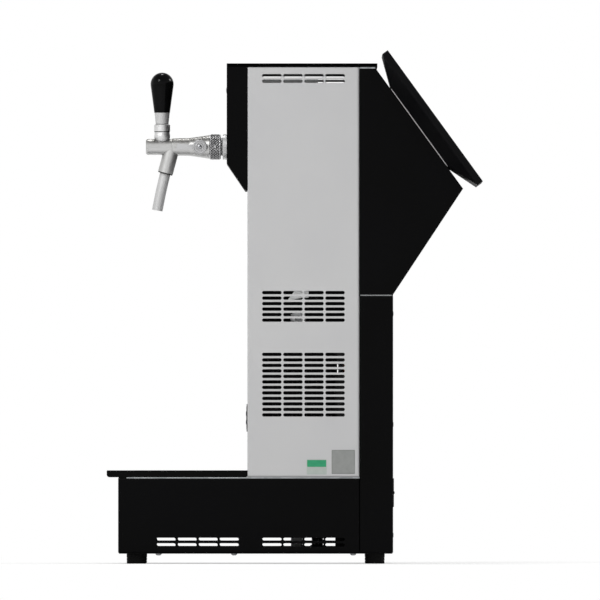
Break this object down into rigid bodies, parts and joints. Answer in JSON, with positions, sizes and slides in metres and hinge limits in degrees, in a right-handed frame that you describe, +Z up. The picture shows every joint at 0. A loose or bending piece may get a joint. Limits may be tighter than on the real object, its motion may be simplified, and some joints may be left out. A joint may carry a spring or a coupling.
{
  "type": "beer tap cooler",
  "caption": "Over-counter dry beer cooler: slotted grey tower on a low black base, compensator tap with lever and spout, lift-out drip tray and a tilted rear screen.",
  "frame": {"origin": "on the counter, in the middle of the footprint of the whole outline", "axes": "+Z up, -Y towards the tap and drip tray, +X to the right of someone who stands in front and faces the tap, the side with the compensator lever"},
  "size_m": [0.376, 0.5264, 0.7184],
  "materials": {
    "black_paint": "satin powder coat",
    "grey_panel": "smooth satin grey",
    "galvanised": "galvanised",
    "zinc": "zinc plated",
    "stainless": "brushed",
    "rubber": "matte",
    "chrome": "polished",
    "brass": "machined",
    "copper": "drawn copper tube",
    "aluminium": "cast",
    "black_fins": "black coated",
    "black_gloss": "gloss",
    "black_plastic": "fine texture",
    "screen_glass": "polished",
    "foam": "moulded foam",
    "acetal": "moulded",
    "beer_tube": "natural tube"
  },
  "bodies": {
    "cabinet": {"base_pan": "black_paint", "base_side_right": "black_paint", "base_side_left": "black_paint", "base_front": "black_paint", "head_cover": "black_paint", "top_lid": "black_paint", "housing_cheek_right": "black_paint", "housing_cheek_left": "black_paint", "housing_slope": "black_paint", "housing_underside": "black_paint", "column_side_right": "black_paint", "column_side_left": "black_paint", "column_back": "black_paint", "compressor": "black_paint", "tower_side_right": "grey_panel", "tower_side_left": "grey_panel", "tower_front": "grey_panel", "base_deck": "galvanised", "tower_back": "galvanised", "screen_mount": "galvanised", "condenser_tray": "galvanised", "block_shelf": "galvanised", "base_screws": "zinc", "mount_screws": "zinc", "feet": "rubber", "compressor_mounts": "rubber", "tap_shank": "chrome", "tap_nut": "chrome", "tap_body": "chrome", "tap_spout": "chrome", "shank_locknut": "brass", "suction_pipe": "copper", "discharge_pipe": "copper", "liquid_line": "copper", "cold_block": "aluminium", "condenser": "black_fins", "status_lamp": "black_gloss", "screen_back": "black_plastic", "screen_bezel": "black_plastic", "power_inlet": "black_plastic", "control_plate": "black_plastic", "electrics_box": "black_plastic", "fan_shroud": "black_plastic", "fan_motor": "black_plastic", "screen_glass": "screen_glass", "insulation": "foam", "insulation_lid": "foam", "beer_inlet": "acetal", "beer_line": "beer_tube"},
    "handle": {"tap_lever": "chrome", "handle_collar": "chrome", "handle_ferrule": "chrome", "handle_knob": "black_gloss"},
    "piston": {"tap_piston": "brass"},
    "compensator": {"compensator_lever": "chrome"},
    "cone": {"compensator_cone": "acetal"},
    "fan": {"fan_blade": "black_plastic"},
    "rocker": {"power_switch": "black_plastic"},
    "tray": {"drip_tray": "black_paint"},
    "grid": {"drip_grid": "stainless"}
  },
  "joints": [
    {"name": "tap_handle", "type": "hinge", "parent": "cabinet", "child": "handle", "pos_m": [0, -0.18633, 0.5999], "axis": [1, 0, 0], "range_deg": [0, 35]},
    {"name": "tap_piston_slide", "type": "slide", "parent": "cabinet", "child": "piston", "axis": [0, 1, 0], "range_m": [0, 0.0087]},
    {"name": "compensator_turn", "type": "hinge", "parent": "cabinet", "child": "compensator", "pos_m": [0, -0.13343, 0.5849], "axis": [1, 0, 0], "range_deg": [-90, 90]},
    {"name": "cone_slide", "type": "slide", "parent": "cabinet", "child": "cone", "axis": [0, 1, 0], "range_m": [-0.0026, 0.0026]},
    {"name": "fan_spin", "type": "hinge", "parent": "cabinet", "child": "fan", "pos_m": [0.0828, -0.00023, 0.2515], "axis": [1, 0, 0], "continuous": true},
    {"name": "power_rocker", "type": "hinge", "parent": "cabinet", "child": "rocker", "pos_m": [0.11, 0.12937, 0.09945], "axis": [1, 0, 0], "range_deg": [0, 14]},
    {"name": "tray_lift", "type": "slide", "parent": "cabinet", "child": "tray", "axis": [0, 0, 1], "range_m": [0, 0.045]},
    {"name": "grid_lift", "type": "slide", "parent": "tray", "child": "grid", "axis": [0, 0, 1], "range_m": [0, 0.03]}
  ],
  "couplings": [
    {"joint": "tap_piston_slide", "follows": "tap_handle", "m_per_rad": 0.014084},
    {"joint": "cone_slide", "follows": "compensator_turn", "m_per_rad": -0.0015915}
  ]
}
